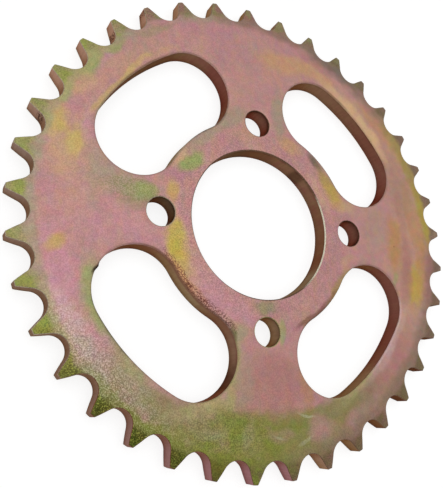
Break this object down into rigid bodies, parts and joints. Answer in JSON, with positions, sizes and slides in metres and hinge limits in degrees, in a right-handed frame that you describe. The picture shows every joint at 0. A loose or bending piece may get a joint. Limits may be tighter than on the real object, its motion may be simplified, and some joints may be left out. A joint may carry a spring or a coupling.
{
  "type": "rear sprocket",
  "caption": "Flat toothed steel plate that a motorcycle's drive chain turns at the rear wheel, with a pilot bore, bolt holes in its spokes and curved windows.",
  "frame": {"origin": "On the bore axis, in the plane of the hub-side face, so the plate lies flat on that face.", "axes": "+Z is the bore axis and points out of the outer face. +Y runs through the middle of a bolt hole, and +X through the next one clockwise, seen from +Z."},
  "size_m": [0.1538, 0.1537, 0.006],
  "materials": {
    "passivated_steel": "zinc plate under a yellow passivation that shows rose, gold and green, satin"
  },
  "bodies": {
    "root": {"sprocket_plate": "passivated_steel"}
  },
  "joints": []
}
